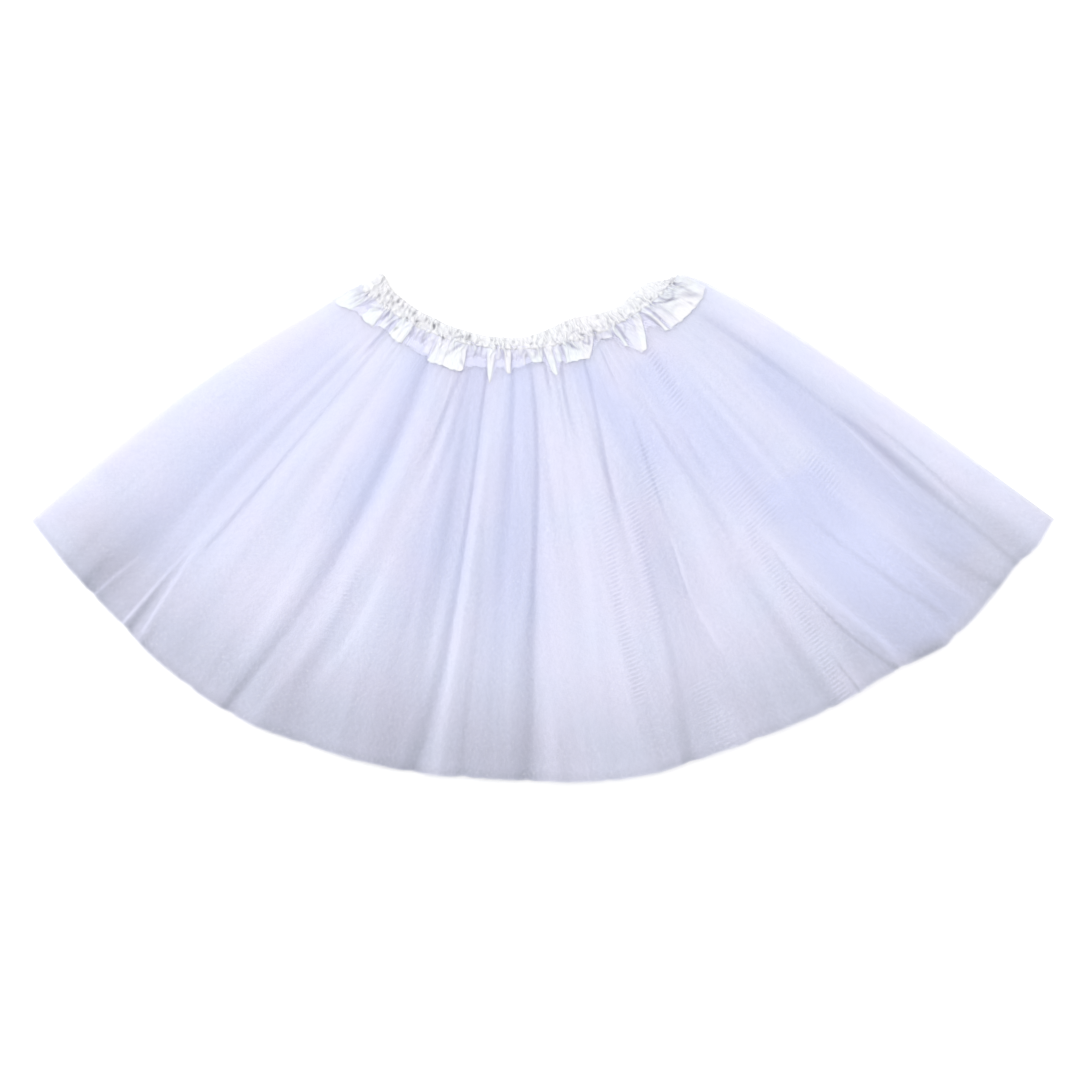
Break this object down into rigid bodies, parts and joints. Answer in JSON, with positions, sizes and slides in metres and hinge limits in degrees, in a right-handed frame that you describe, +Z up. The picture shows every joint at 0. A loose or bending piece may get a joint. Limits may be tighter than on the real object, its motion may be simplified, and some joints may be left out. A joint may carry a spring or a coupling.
{
  "type": "ballet tutu",
  "caption": "Child's white ballet tutu laid flat, its layers of gathered tulle fanned out below a ruched satin waistband with a frilled lower edge.",
  "frame": {"origin": "middle of the fan's outline in plan, on the surface that the tutu lies on", "axes": "+X across the fan to the right with the front upwards, +Y towards the waistband, +Z up"},
  "size_m": [0.6894, 0.3436, 0.0145],
  "materials": {
    "satin_casing": "glossy white satin, finely ruched over elastic",
    "satin_frill": "glossy white satin with a free frilled edge",
    "tulle_outer": "soft matt white tulle net, cool tint",
    "tulle_middle": "soft matt white tulle net, cool tint",
    "tulle_inner": "soft matt white tulle net, cool tint"
  },
  "bodies": {
    "root": {"waistband_casing": "satin_casing", "waistband_frill": "satin_frill", "tulle_outer": "tulle_outer", "tulle_middle": "tulle_middle", "tulle_inner": "tulle_inner"}
  },
  "joints": []
}
